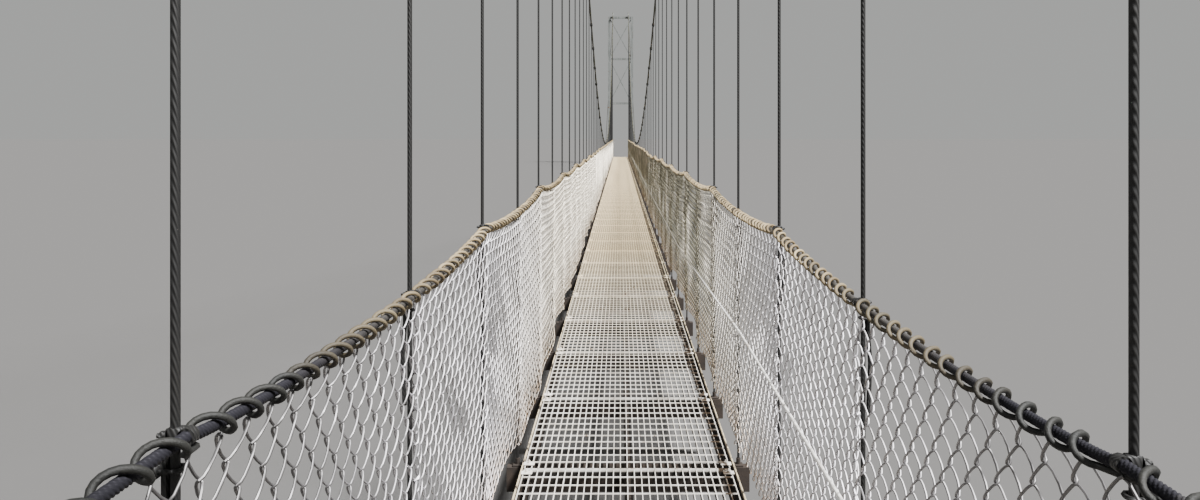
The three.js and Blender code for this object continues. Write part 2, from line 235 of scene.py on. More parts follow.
def galvanised_wire():
    """Galvanised chain-link wire: zinc, painted dull as shade at the near end; far out painted paler as
    sunlight, and patchily painted dull as shade on the right.
    """
    material, tree, shader, coordinates = new_material("galvanised_chain_link_wire", 0.54, 0.95)
    bright = blend(tree, patches(tree, coordinates, real(60), 0.35, 0.65), "c6c3c6", "9a9797")
    # Far out the zinc is painted paler cream, as sunlight on the far mesh.
    far_out = ramp(tree, coordinates, "Y", from_near_end(3800), from_near_end(7500))
    far_painted_light = blend(tree, far_out, bright, "e6ddcc")
    # Far out on the right the wire is painted patchy dull brown-grey, as dappled shade.
    right = both(tree, far_out, ramp(tree, coordinates, "X", real(-1), real(1)))
    right_painted_shade = both(tree, right, patches(tree, coordinates, real(400), 0.25, 0.48))
    right_shaded = blend(tree, right_painted_shade, far_painted_light, "7d7969")
    # Near the near end the zinc is painted dull grey as shade.
    near_end_shade = ramp(tree, coordinates, "Y", from_near_end(2500), from_near_end(1500))
    zinc = blend(tree, near_end_shade, right_shaded, "787676")
    low = ramp(tree, coordinates, "Z", DECK_TOP + real(450), DECK_TOP - real(40))
    stain = both(tree, low, patches(tree, coordinates, real(40), 0.3, 0.6))
    tree.links.new(blend(tree, stain, zinc, "7a634b"), shader.inputs["Base Color"])
    return material


def rail_rope():
    """Galvanised wire rope, zinc gone grey-brown, painted near-black as shade and made duller towards
    the near end.
    """
    material, tree, shader, coordinates = new_material("weathered_steel_wire_rope", 0.42, 0.6)
    steel = blend(tree, patches(tree, coordinates, real(70), 0.35, 0.65), "77736d", "474440")
    # Towards the near end the rope is painted near-black as shade, in slightly uneven patches.
    shade = ramp(tree, coordinates, "Y", from_near_end(2700), from_near_end(1500))
    damp_and_shade = both(tree, shade, patches(tree, coordinates, real(120), 0.1, 0.4))
    tree.links.new(blend(tree, damp_and_shade, steel, "222127"), shader.inputs["Base Color"])
    dull = {"Value": shade, "To Min": 0.42, "To Max": 0.68}
    tree.links.new(add(tree, "ShaderNodeMapRange", dull).outputs["Result"], shader.inputs["Roughness"])
    rough_surface(tree, shader, strand_stripes(tree, coordinates, 1, real(8.5), real(8)), real(0.8))
    return material


def middle_rope_steel():
    """Thin galvanised wire rope, bright near the bank with dull lengths, weathered grey beyond."""
    material, tree, shader, coordinates = new_material("bright_galvanised_wire_rope", 0.5, 0.1)
    bright = blend(tree, patches(tree, coordinates, real(160), 0.55, 0.75), "f4f1ec", "a5927e")
    beyond = ramp(tree, coordinates, "Y", from_near_end(5600), from_near_end(7500))
    tree.links.new(blend(tree, beyond, bright, "7c766a"), shader.inputs["Base Color"])
    rough_surface(tree, shader, strand_stripes(tree, coordinates, 1, real(6), real(5)), real(0.5))
    return material


def lacing_rope():
    """Thin lacing rope in a woven sheath: bleached tan in the sun, painted near-black as shade towards
    the near end.
    """
    material, tree, shader, coordinates = new_material("weathered_lacing_rope", 0.7, 0.0)
    tan = blend(tree, patches(tree, coordinates, real(90), 0.3, 0.65), "a39270", "6f5f44")
    shade = ramp(tree, coordinates, "Y", from_near_end(3000), from_near_end(1500))
    # The near end's colour is painted near-black as shade.
    moss_and_shade = blend(tree, patches(tree, coordinates, real(50), 0.35, 0.65), "15140f", "0c0d0b")
    bleached = blend(tree, patches(tree, coordinates, real(300), 0.60, 0.72), tan, "4a4636")
    tree.links.new(blend(tree, shade, bleached, moss_and_shade), shader.inputs["Base Color"])
    rough_surface(tree, shader, patches(tree, coordinates, real(3), 0.3, 0.7), real(0.8))
    return material


def hanger_rope():
    """Greased steel wire rope of the hangers and their clamps: nearly black, low sheen."""
    material, tree, shader, coordinates = new_material("greased_steel_wire_rope", 0.62, 0.0)
    stripes = strand_stripes(tree, coordinates, 2, real(14), real(6.3))
    dark = blend(tree, patches(tree, coordinates, real(150), 0.35, 0.65), "0f0e0d", "171512")
    grooves = blend(tree, stripes, "080808", dark)
    tree.links.new(grooves, shader.inputs["Base Color"])
    rough_surface(tree, shader, stripes, real(1.2))
    return material


def cable_rope():
    """Heavy galvanised main cable, zinc gone dull brown-grey under moss and dust."""
    material, tree, shader, coordinates = new_material("mossy_steel_main_cable", 0.7, 0.2)
    stripes = strand_stripes(tree, coordinates, 1, real(38), real(17))
    steel = blend(tree, stripes, "302d26", "575346")
    moss_and_shade = patches(tree, coordinates, real(260), 0.45, 0.65)
    tree.links.new(blend(tree, moss_and_shade, steel, "484a31"), shader.inputs["Base Color"])
    rough_surface(tree, shader, stripes, real(3))
    return material


def rusted_steel():
    """Mild steel gone to brown rust, painted very dark as the shade under the deck, with old cream
    paint left along the top of the edge angles.
    """
    material, tree, shader, coordinates = new_material("rusted_mild_steel", 0.85, 0.05)
    # The rust colours are painted near-black, as the shade that the beams and stringer stand in under
    # the deck.
    rust = blend(tree, patches(tree, coordinates, real(110), 0.35, 0.65), "211a15", "31271f")
    dark = patches(tree, coordinates, real(45), 0.5, 0.7)
    rim = ramp(tree, coordinates, "Z", DECK_TOP - real(12), DECK_TOP - real(8))
    paint = both(tree, rim, patches(tree, coordinates, real(70), 0.36, 0.5))
    steel = blend(tree, paint, blend(tree, dark, rust, "201a15"), "bdae92")
    tree.links.new(steel, shader.inputs["Base Color"])
    rough_surface(tree, shader, patches(tree, coordinates, real(6), 0.3, 0.7), real(1.0))
    return material


def tower_steel():
    """Hot-dip galvanised sections, dulled to mid grey with faint streaks down the legs."""
    material, tree, shader, coordinates = new_material("galvanised_tower_steel", 0.55, 0.4)
    stretched = add(tree, "ShaderNodeMapping", {"Vector": coordinates, "Scale": (1, 1, 0.12)})
    streaks = patches(tree, stretched.outputs["Vector"], real(70), 0.35, 0.65)
    zinc = blend(tree, streaks, "7d807e", "5f6260")
    rust = patches(tree, coordinates, real(120), 0.64, 0.74)
    tree.links.new(blend(tree, rust, zinc, "654b38"), shader.inputs["Base Color"])
    rough_surface(tree, shader, patches(tree, coordinates, real(8), 0.3, 0.7), real(0.6))
    return material


def cast_concrete():
    """Concrete cast against boards: grey, damp from the foot up, with fine sand grain."""
    material, tree, shader, coordinates = new_material("cast_concrete", 0.9, 0.0)
    paste = blend(tree, patches(tree, coordinates, real(420), 0.35, 0.65), "807c73", "68655d")
    foot = ramp(tree, coordinates, "Z", real(260), 0.0)
    damp_and_shade = both(tree, foot, patches(tree, coordinates, real(150), 0.2, 0.8))
    tree.links.new(blend(tree, damp_and_shade, paste, "47453c"), shader.inputs["Base Color"])
    board_marks = {"Vector": coordinates, "Scale": STRAIGHT_BANDS / real(150)}
    boards = add(tree, "ShaderNodeTexWave", board_marks, bands_direction="Z", wave_profile="SAW")
    grain = both(tree, boards.outputs["Fac"], patches(tree, coordinates, real(10), 0.2, 0.6))
    rough_surface(tree, shader, grain, real(3.0))
    return material


MATERIALS = {
    "galvanised_grating": galvanised_grating(),
    "chain_link": galvanised_wire(),
    "weathered_wire_rope": rail_rope(),
    "dark_wire_rope": hanger_rope(),
    "rusted_steel": rusted_steel(),
    "tower_steel": tower_steel(),
    "concrete": cast_concrete(),
}
LACING = lacing_rope()
CABLE = cable_rope()
MIDDLE_ROPE = middle_rope_steel()


def select_only(*objects):
    """Leaves only these objects selected, with the first one active."""
    bpy.ops.object.select_all(action="DESELECT")
    for obj in objects:
        obj.select_set(True)
    bpy.context.view_layer.objects.active = objects[0]


def settle(obj):
    """Moves an object's place, turn and size into its mesh."""
    select_only(obj)
    bpy.ops.object.transform_apply(location=True, rotation=True, scale=True)


def array(obj, count, step):
    """Repeats an object along a step in metres, in its own mesh."""
    if count < 2:
        return
    modifier = obj.modifiers.new("repeat", "ARRAY")
    modifier.use_relative_offset = False
    modifier.use_constant_offset = True
    modifier.count = count
    modifier.constant_offset_displace = step
    select_only(obj)
    bpy.ops.object.modifier_apply(modifier=modifier.name)


def copied(obj, name, place=(0, 0, 0), tilt=0.0):
    """A copy with its own mesh, tilted about X and moved."""
    twin = obj.copy()
    twin.data = obj.data.copy()
    twin.name = name
    bpy.context.collection.objects.link(twin)
    twin.rotation_euler = (tilt, 0, 0)
    twin.location = place
    settle(twin)
    return twin


def joined(name, pieces):
    """Joins meshes into one named piece."""
    select_only(*pieces)
    if len(pieces) > 1:
        bpy.ops.object.join()
    piece = bpy.context.view_layer.objects.active
    piece.name = name
    return piece


def spread(name, model, places):
    """One piece made of copies of a model, each at a place and tilt; the model goes."""
    copies = [copied(model, name, place, tilt) for place, tilt in places]
    bpy.data.objects.remove(model)
    return joined(name, copies)


def finished(piece, slot, replaced=(), material=None, smooth=None):
    """Gives a piece its material, slot and shading, and lets it ride on the bridge."""
    piece.data.materials.clear()
    piece.data.materials.append(material or MATERIALS[slot])
    if smooth:
        select_only(piece)
        bpy.ops.object.shade_smooth_by_angle(angle=math.radians(smooth))
    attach(piece, "root")
    if replaced:
        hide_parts(*replaced)
    return piece


def edit_all(obj):
    """Goes into edit mode with the whole mesh selected."""
    select_only(obj)
    bpy.ops.object.mode_set(mode="EDIT")
    bpy.ops.mesh.select_all(action="SELECT")


def block(centre, size, bevel=0.0):
    """A flat-sided steel block; a bevel takes its edges off."""
    bpy.ops.object.select_all(action="DESELECT")
    bpy.ops.mesh.primitive_cube_add(size=1, location=centre)
    obj = bpy.context.active_object
    obj.scale = size
    settle(obj)
    if bevel:
        edit_all(obj)
        bpy.ops.mesh.bevel(offset=bevel, segments=1, affect="EDGES")
        bpy.ops.object.mode_set(mode="OBJECT")
    return obj


def round_bar(centre, radius, length, turn=(0, 0, 0), sides=8):
    """A round or many-sided bar, upright unless it is turned."""
    bpy.ops.object.select_all(action="DESELECT")
    bpy.ops.mesh.primitive_cylinder_add(
        vertices=sides, radius=radius, depth=length, location=centre, rotation=turn
    )
    obj = bpy.context.active_object
    settle(obj)
    return obj


def nut_on_bolt(centre, across, turn=(0, 0, 0)):
    """A hexagon nut on its washer with the bolt's end; sizes are parts of the width across flats."""
    nut = round_bar((0, 0, across * 0.4), across * 0.577, across * 0.8, sides=6)
    washer = round_bar((0, 0, across * 0.06), across * 0.85, across * 0.12, sides=12)
    end = round_bar((0, 0, across * 0.95), across * 0.3, across * 0.5, sides=8)
    bolt = joined("bolt", [nut, washer, end])
    bolt.rotation_euler = turn
    bolt.location = centre
    settle(bolt)
    return bolt


def cut_beyond(obj, y, outward):
    """Trims a piece square at y and closes the cut."""
    edit_all(obj)
    bpy.ops.mesh.bisect(plane_co=(0, y, 0), plane_no=(0, outward, 0), use_fill=True, clear_outer=True)
    bpy.ops.object.mode_set(mode="OBJECT")


# Corner distance of a three-sided wire's section, in diameters
TRIANGLE_REACH = 0.6


def poly_spline(curve, points, cyclic=False):
    """Adds a spline of straight pieces through the points."""
    spline = curve.splines.new("POLY")
    spline.points.add(len(points) - 1)
    spline.points.foreach_set("co", [value for point in points for value in (*point, 1.0)])
    spline.use_cyclic_u = cyclic


def swept(name, lines, diameter, sides=6):
    """Wires or ropes along lines of points, with 3, 4, 6 or 8 sides."""
    curve = bpy.data.curves.new(name, "CURVE")
    curve.dimensions = "3D"
    curve.fill_mode = "FULL"
    curve.use_fill_caps = True
    outline = None
    if sides == 3:
        outline = bpy.data.curves.new("outline", "CURVE")
        reach = diameter * TRIANGLE_REACH
        turns = [2 * math.pi * corner / 3 for corner in range(3)]
        corners = [(reach * math.cos(turn), reach * math.sin(turn), 0) for turn in turns]
        poly_spline(outline, corners, cyclic=True)
        outline = bpy.data.objects.new("outline", outline)
        bpy.context.collection.objects.link(outline)
        curve.bevel_mode = "OBJECT"
        curve.bevel_object = outline
    else:
        curve.bevel_depth = diameter / 2
        curve.bevel_resolution = (sides - 4) // 2
    for points in lines:
        poly_spline(curve, points)
    obj = bpy.data.objects.new(name, curve)
    bpy.context.collection.objects.link(obj)
    select_only(obj)
    bpy.ops.object.convert(target="MESH")
    obj = bpy.context.view_layer.objects.active
    if outline:
        bpy.data.objects.remove(outline)
        edit_all(obj)
        bpy.ops.mesh.normals_make_consistent(inside=False)
        bpy.ops.object.mode_set(mode="OBJECT")
    return obj


def vertices_of(obj):
    """An object's vertices as an array of places."""
    places = np.empty(len(obj.data.vertices) * 3)
    obj.data.vertices.foreach_get("co", places)
    return places.reshape(-1, 3)


def move_vertices(obj, places):
    """Puts an object's vertices at new places."""
    obj.data.vertices.foreach_set("co", places.ravel())
    obj.data.update()


def rail_height(y, side):
    """Height of the handrail rope: held at every other hanger, slack over the two bays between."""
    place = (np.clip((np.asarray(y) + HALF_SPAN) / BAY, 1, BAYS - 1) - 1) / 2
    stretch = np.minimum(np.floor(place), BAYS // 2 - 2).astype(int)
    lifts = np.array(RAIL_LIFTS[side])
    part = place - stretch
    held = lifts[stretch % len(lifts)] * (1 - part) + lifts[(stretch + 1) % len(lifts)] * part
    return RAIL_Z + held - RAIL_SAG * np.maximum(4 * part * (1 - part), 0) ** RAIL_SAG_SHAPE


def follow_rail(obj, side, whole=False):
    """Lets a level piece follow the slack rope; whole keeps what is at each hanger unbent."""
    places = vertices_of(obj)
    along = places[:, 1]
    if whole:
        along = np.round((along + HALF_SPAN) / BAY) * BAY - HALF_SPAN
    places[:, 2] += rail_height(along, side) - RAIL_Z
    move_vertices(obj, places)


# Chain link, with its wires counted in a bay and its strands counted up the mesh
WIRES = 28
LEVELS = 26
WIRE = real(4.5)
WIRE_PITCH = BAY / WIRES
STRAND = real(44.6)
BOW = real(7)
BOW_SHAPE = 0.45
HOOK = real(2.4)
MESH_HEAD = RAIL_Z - real(14)
MESH_FOOT = MESH_HEAD - LEVELS * STRAND
FINE = {"steps": (0, 0.08, 0.22, 0.5, 0.78, 0.92), "sides": 6}
MEDIUM = {"steps": (0, 0.15, 0.5, 0.85), "sides": 4}
COARSE = {"steps": (0, 0.5), "sides": 3}
DIAGONAL_WIRE = WIRE * 1.1
DIAGONAL_BOW = BOW * 0.6

# Bays of the first mesh section by their detail, each as the first bay and how many
FINE_BAYS = (1, 3)
FIRST_BAY = (0, 1)
MEDIUM_BAYS = (4, 1)
COARSE_BAYS = (5, 3)

# How far the mesh hangs out of its plane and off its straight foot
FOLD = real(15)
FOLD_PART = 0.07
TIED_PART = 0.05
BULGE = real(9)
FLARE = real(26)
LAST_PLACE = BAYS - 1e-6
FOOT_DROPS = [real(drop) for drop in (-35, 20, -94, 34, -28, -75, 12, -48, 26, 52)]
DROP_STEP = 3
DROP_STARTS = {-1: 0, 1: 5}

# Small unevenness of the wires, as its reach and its waves in radians a metre
RIPPLE = real(2.5)
RIPPLE_WAVES = (31, 17)
RIPPLE_SHIFT = 3
STRAY = real(2.0)
STRAY_WAVES = (43, 29)


def wire_points(parity, steps):
    """One wire's centre line, a flat helix that hooks into both neighbours, from foot to head.

    U runs along the deck from a bay's start, V up from the mesh's foot and W towards the deck.
    """
    points = []
    for level in range(LEVELS):
        rises = (level + parity) % 2 == 0
        for part in steps:
            run = -HOOK + (WIRE_PITCH + 2 * HOOK) * part
            bow = BOW * math.sin(math.pi * part) ** BOW_SHAPE
            u = run if rises else WIRE_PITCH - run
            points.append((u, (level + part) * STRAND, bow if rises else -bow))
    last_u = -HOOK if (LEVELS + parity) % 2 == 0 else WIRE_PITCH + HOOK
    points.append((last_u, LEVELS * STRAND, 0.0))
    return points


def in_bridge(point, side, bay):
    """A mesh point in the bridge's frame, for one side and the bay counted from the near end."""
    u, v, w = point
    if side < 0:
        return (-MESH_X + w, -HALF_SPAN + bay * BAY + u, MESH_FOOT + v)
    return (MESH_X - w, -HALF_SPAN + (bay + 1) * BAY - u, MESH_FOOT + v)


def woven_bays(name, side, first, count, steps, sides):
    """Some bays of chain link with every hook modelled."""
    pair = []
    for parity in (0, 1):
        points = [(u + parity * WIRE_PITCH, v, w) for u, v, w in wire_points(parity, steps)]
        placed = [in_bridge(point, side, first) for point in points]
        pair.append(swept(f"{name}_wire_{parity}", [placed], WIRE, sides))
    mesh = joined(name, pair)
    array(mesh, WIRES // 2, (0, -side * 2 * WIRE_PITCH, 0))
    array(mesh, count, (0, BAY, 0))
    return mesh


def straight_bays(name, side, first, count):
    """Some far bays whose strands run together into straight diagonals, crossing in two layers."""
    run = WIRE_PITCH * LEVELS
    layers = []
    for slant in (1, -1):
        near, far = (0.0, run) if slant > 0 else (run, 0.0)
        bow = slant * DIAGONAL_BOW
        ends = [(near - run, 0.0, bow), (far - run, LEVELS * STRAND, bow)]
        line = swept("diagonal", [[in_bridge(point, side, first) for point in ends]], DIAGONAL_WIRE, 4)
        array(line, (WIRES * count + LEVELS) // 2 + 1, (0, -side * 2 * WIRE_PITCH, 0))
        layers.append(line)
    mesh = joined(name, layers)
    if side > 0:
        # On the right a bay's strands are counted back from its far end
        places = vertices_of(mesh)
        places[:, 1] += (count - 1) * BAY
        move_vertices(mesh, places)
    cut_beyond(mesh, -HALF_SPAN + first * BAY, -1)
    cut_beyond(mesh, -HALF_SPAN + (first + count) * BAY, 1)
    return mesh


def hang_slack(mesh, side):
    """Lets a flat mesh follow the slack rail, fold at the hangers, bulge and end unevenly."""
    places = vertices_of(mesh)
    y, z = places[:, 1], places[:, 2]
    height = np.clip((z - MESH_FOOT) / (MESH_HEAD - MESH_FOOT), 0, 1)
    place = np.clip((y + HALF_SPAN) / BAY, 0, LAST_PLACE)
    part = place % 1
    bay = np.floor(place).astype(int)
    swell = np.sin(np.pi * part)
    loose = np.minimum(1, (1 - height) / TIED_PART)
    drops = np.array(FOOT_DROPS)[(bay * DROP_STEP + DROP_STARTS[side]) % len(FOOT_DROPS)]
    fold = np.minimum(part / FOLD_PART, (1 - part) / (1 - FOLD_PART)) * loose
    out = FOLD * fold + BULGE * swell * np.sin(np.pi * height) + FLARE * swell * (1 - height) ** 3
    ripple = RIPPLE * np.sin(RIPPLE_WAVES[0] * z + RIPPLE_WAVES[1] * y + RIPPLE_SHIFT * bay) * loose
    places[:, 0] += side * (out + ripple)
    places[:, 1] += STRAY * np.sin(STRAY_WAVES[0] * z + STRAY_WAVES[1] * y)
    places[:, 2] += (rail_height(y, side) - RAIL_Z) * height**1.2
    places[:, 2] += drops * swell**0.5 * (1 - height) ** 2
    move_vertices(mesh, places)


def chain_link_sides():
    """Both mesh sides: hooked wires near the camera, plainer ones farther on."""
    for side_name, side in SIDES.items():
        node = f"mesh_{side_name}_1"
        near = woven_bays(f"chain_link_{side_name}_1_near", side, *FINE_BAYS, **FINE)
        hang_slack(near, side)
        finished(near, "chain_link", [node], smooth=60)
        first = woven_bays("first_bay", side, *FIRST_BAY, **MEDIUM)
        beyond = woven_bays("bay_beyond", side, *MEDIUM_BAYS, **MEDIUM)
        farther = woven_bays("farther_bays", side, *COARSE_BAYS, **COARSE)
        rest = joined(f"chain_link_{side_name}_1", [first, beyond, farther])
        hang_slack(rest, side)
        finished(rest, "chain_link", [node], smooth=130)
        second_bays = (BAYS_PER_SECTION, BAYS_PER_SECTION)
        second = woven_bays(f"chain_link_{side_name}_2", side, *second_bays, **COARSE)
        hang_slack(second, side)
        finished(second, "chain_link", [f"mesh_{side_name}_2"], smooth=130)
        for section in range(2, SECTIONS):
            name = f"chain_link_{side_name}_{section + 1}"
            piece = straight_bays(name, side, section * BAYS_PER_SECTION, BAYS_PER_SECTION)
            hang_slack(piece, side)
            finished(piece, "chain_link", [f"mesh_{side_name}_{section + 1}"])


# Grating panels, one bay long, with their joints nearer than the hangers, and their clips
JOINT_SHIFT = real(-235)
JOINT_GAP = real(9)
BARS = 31
BAR_PITCH = real(32.65)
BAR_THICK = real(3.6)
FIRST_BAR_X = real(-495)
ROD_PITCH = real(100)
ROD = real(5)
ROD_DROP = real(0.8)
CLIP_PLATE = (real(52), real(38), real(4))
CLIP_BOLT = real(13)
CLIPS_X = (real(-478), real(470))
CLIPS_Y = (real(-62), real(58))
PANEL_WIDTH = (BARS - 1) * BAR_PITCH + BAR_THICK
PANEL_X = FIRST_BAR_X + (BARS - 1) * BAR_PITCH / 2


def grating_panel():
    """One welded panel: bearing bars lengthwise, square rods across, flat bars at both ends."""
    length = BAY - JOINT_GAP
    middle_z = DECK_TOP - GRATING_DEPTH / 2
    bar = block((FIRST_BAR_X, length / 2, middle_z), (BAR_THICK, length, GRATING_DEPTH - 2 * FIT))
    array(bar, BARS, (BAR_PITCH, 0, 0))
    rod_z = DECK_TOP - ROD / 2 - ROD_DROP
    rods = round(length / ROD_PITCH) - 1
    rod = block((PANEL_X, ROD_PITCH - JOINT_GAP / 2, rod_z), (PANEL_WIDTH, ROD, ROD))
    array(rod, rods, (0, ROD_PITCH, 0))
    end_size = (PANEL_WIDTH, BAR_THICK, GRATING_DEPTH - 2 * FIT)
    near_end = block((PANEL_X, BAR_THICK / 2, middle_z), end_size)
    far_end = copied(near_end, "end", (0, length - BAR_THICK, 0))
    return joined("grating_panel", [bar, rod, near_end, far_end])


def deck_gratings():
    """The walking surface, one piece for each deck section."""
    panel = grating_panel()
    for section in range(SECTIONS):
        low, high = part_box(f"deck_grating_{section + 1}")
        start = -HALF_SPAN + section * BAYS_PER_SECTION * BAY + JOINT_SHIFT
        last = section == SECTIONS - 1
        count = BAYS_PER_SECTION + 1 if last else BAYS_PER_SECTION
        piece = copied(panel, f"grating_panels_{section + 1}", (0, start, 0))
        array(piece, count, (0, BAY, 0))
        if section == 0:
            cut_beyond(piece, low[1], -1)
        if last:
            cut_beyond(piece, high[1], 1)
        finished(piece, "galvanised_grating", [f"deck_grating_{section + 1}"])
    bpy.data.objects.remove(panel)


def grating_clips():
    """Saddle clips with a bolt that hold every panel's corners down on the edge angles."""
    thick = CLIP_PLATE[2]
    plate = block((0, 0, thick / 2), CLIP_PLATE, thick / 4)
    bolt = nut_on_bolt((0, 0, thick), CLIP_BOLT)
    clip = joined("clip", [plate, bolt])
    places = []
    for i in range(BAYS):
        joint = -HALF_SPAN + (i + 1) * BAY + JOINT_SHIFT
        for x in CLIPS_X:
            for y in CLIPS_Y:
                places.append(((x, joint + y, DECK_TOP + FIT), 0.0))
    piece = spread("grating_hold_down_clips", clip, places)
    finished(piece, "galvanised_grating")


# Handrail ropes, their lacing and the clamps at the hangers
LACE_DIAMETER = real(9.5)
LACE_WIDTHS = (real(16.0), real(20.0))
LACE_HEIGHTS = (real(12.8), real(15.2))
LACE_TURNS = 14
LACE_SLIP = 0.1
LACE_PAUSES = {-1: (real(20), real(20)), 1: (real(20), real(52))}
LACE_NEAR_BAYS = 4
LACE_NEAR = {"points_per_turn": 16, "sides": 6}
LACE_FAR = {"points_per_turn": 7, "sides": 4}
ROPE_LAY = real(50)
ROPE_STRANDS = 6
RINGS_PER_LAY = 9
VALLEY = 0.85
LAID_BAYS = 3
RAIL_STEPS_PER_BAY = 6
COLLAR_RADIUS = real(10.5)
CLAMP_LENGTH = real(14)
TAIL_X = CABLE_X + HANGER_DIAMETER * 0.96
TAIL_DIAMETER = HANGER_DIAMETER * 0.92
TAIL_LENGTH = real(270)
GRIP_DROP = real(38)
GRIP_GAUGE = real(12)


def laid_rope(name, x, z, start, length, diameter):
    """A six-strand rope, twisted: a lobed outline run along Y by a Screw modifier."""
    bpy.ops.object.select_all(action="DESELECT")
    corners = ROPE_STRANDS * 3
    bpy.ops.mesh.primitive_circle_add(vertices=corners, radius=diameter / 2, fill_type="NGON")
    rope = bpy.context.active_object
    rope.name = name
    for vertex in rope.data.vertices:
        if vertex.index % 3 == 0:
            vertex.co *= VALLEY
    turns = length / ROPE_LAY
    screw = rope.modifiers.new("twist", "SCREW")
    screw.axis = "Z"
    screw.angle = turns * 2 * math.pi
    screw.screw_offset = length
    screw.steps = round(turns * RINGS_PER_LAY)
    screw.render_steps = screw.steps
    select_only(rope)
    bpy.ops.object.modifier_apply(modifier=screw.name)
    rope.rotation_euler = (-math.pi / 2, 0, 0)
    rope.location = (x, start, z)
    settle(rope)
    edit_all(rope)
    bpy.ops.mesh.remove_doubles(threshold=real(0.02))
    bpy.ops.mesh.normals_make_consistent(inside=False)
    bpy.ops.object.mode_set(mode="OBJECT")
    return rope


def lacing_bays(side, first, count, points_per_turn, sides):
    """The lacing, wound close round the rope and the mesh's head, straight past each hanger."""
    before, after = LACE_PAUSES[side]
    points = []
    for bay in range(first, first + count):
        start = -HALF_SPAN + bay * BAY + after
        length = BAY - before - after
        for turn in range(LACE_TURNS):
            width = random.uniform(*LACE_WIDTHS)
            height = random.uniform(*LACE_HEIGHTS)
            slip = random.uniform(-LACE_SLIP, LACE_SLIP)
            for i in range(points_per_turn):
                part = i / points_per_turn
                angle = math.pi + 2 * math.pi * part
                y = start + length * (turn + part + slip * math.sin(math.pi * part)) / LACE_TURNS
                x = side * RAIL_X + width * math.sin(angle)
                points.append((x, y, RAIL_Z + height * math.cos(angle)))
    lacing = swept("lacing", [points], LACE_DIAMETER, sides)
    follow_rail(lacing, side)
    return lacing


def rope_clip(centre, out, gauge):
    """A wire rope clip with its nuts towards out, 1 or -1 along X; sizes are in gauges."""
    x, y, z = centre
    bend = [(-0.75, 0.9), (-1.05, 0.55), (-1.15, 0), (-1.05, -0.55), (-0.75, -0.9)]
    legs = [(x + out * gauge * 2.2, y + gauge * 0.9, z)]
    legs += [(x + out * gauge * along, y + gauge * across, z) for along, across in bend]
    legs.append((x + out * gauge * 2.2, y - gauge * 0.9, z))
    bolt = swept("bolt", [legs], gauge * 0.5, 6)
    saddle_size = (gauge, gauge * 2.7, gauge * 1.35)
    saddle = block((x + out * gauge * 1.35, y, z), saddle_size, gauge * 0.15)
    turn = (0, out * math.pi / 2, 0)
    nut_x = x + out * gauge * 1.85
    nuts = [nut_on_bolt((nut_x, y + gauge * place, z), gauge * 0.8, turn) for place in (-0.9, 0.9)]
    return joined("rope_clip", [bolt, saddle, *nuts])


def hanger_clamps(side):
    """At each hanger: a clamp that holds the handrail rope, and below it the hanger's clipped tail."""
    y = HANGERS[0]
    along_y = (math.pi / 2, 0, 0)
    outwards = (0, side * math.pi / 2, 0)
    collar = round_bar((side * RAIL_X, y, RAIL_Z), COLLAR_RADIUS, CLAMP_LENGTH, along_y, 12)
    jaw_size = (real(20), CLAMP_LENGTH, real(22))
    jaw = block((side * (CABLE_X - real(2)), y, RAIL_Z), jaw_size, real(2.5))
    bolt = nut_on_bolt((side * (CABLE_X + real(9)), y, RAIL_Z), real(10), outwards)
    grip_z = RAIL_Z - GRIP_DROP
    tail = [
        (side * TAIL_X, y, grip_z + real(20)),
        (side * TAIL_X, y, grip_z - real(30)),
        (side * (TAIL_X + real(6)), y, grip_z - real(110)),
        (side * (TAIL_X + real(1)), y, RAIL_Z - TAIL_LENGTH),
    ]
    rope = swept("tail", [tail], TAIL_DIAMETER, 6)
    grip = rope_clip((side * (CABLE_X + real(4)), y, grip_z), side, GRIP_GAUGE)
    clamps = joined("clamps", [collar, jaw, bolt, rope, grip])
    array(clamps, BAYS - 1, (0, BAY, 0))
    follow_rail(clamps, side, whole=True)
    return clamps


def handrails():
    """Each handrail: laid rope near the camera, a smooth rope beyond, clamps and lacing."""
    near_length = LAID_BAYS * BAY
    far_start = -RAIL_END_Y + near_length
    far_length = RAIL_END_Y - far_start
    for side_name, side in SIDES.items():
        node = f"handrail_rope_{side_name}"
        x = side * RAIL_X
        near = laid_rope("near_rope", x, RAIL_Z, -RAIL_END_Y, near_length, RAIL_DIAMETER)
        steps = round(far_length / BAY * RAIL_STEPS_PER_BAY)
        line = [(x, far_start + far_length * i / steps, RAIL_Z) for i in range(steps + 1)]
        far = swept("far_rope", [line], RAIL_DIAMETER, 8)
        rope = joined(f"handrail_wire_rope_{side_name}", [near, far])
        follow_rail(rope, side)
        finished(rope, "weathered_wire_rope", [node], smooth=60)
        clamps = hanger_clamps(side)
        clamps.name = f"hanger_clamps_{side_name}"
        finished(clamps, "dark_wire_rope", [node], smooth=50)
        near_lacing = lacing_bays(side, 0, LACE_NEAR_BAYS, **LACE_NEAR)
        far_lacing = lacing_bays(side, LACE_NEAR_BAYS, BAYS - LACE_NEAR_BAYS, **LACE_FAR)
        lacing = joined(f"mesh_lacing_{side_name}", [near_lacing, far_lacing])
        finished(lacing, "weathered_wire_rope", material=LACING, smooth=100)


def middle_rope():
    """The one rope at mid height inside the right mesh."""
    low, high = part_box("middle_rope_right")
    x = (low[0] + high[0]) / 2
    bend = RAIL_END_Y - MID_ROPE_LEVEL
    foot = bend - MID_ROPE_FALL
    half = [(foot, MID_ROPE_LOW), (bend, MID_ROPE_HIGH), (RAIL_END_Y, MID_ROPE_HIGH)]
    line = [(-y, height) for y, height in reversed(half)] + half
    points = [(x, y, DECK_TOP + height) for y, height in line]
    rope = swept("middle_wire_rope_right", [points], MID_ROPE_DIAMETER, 8)
    finished(rope, "weathered_wire_rope", ["middle_rope_right"], MIDDLE_ROPE, smooth=60)


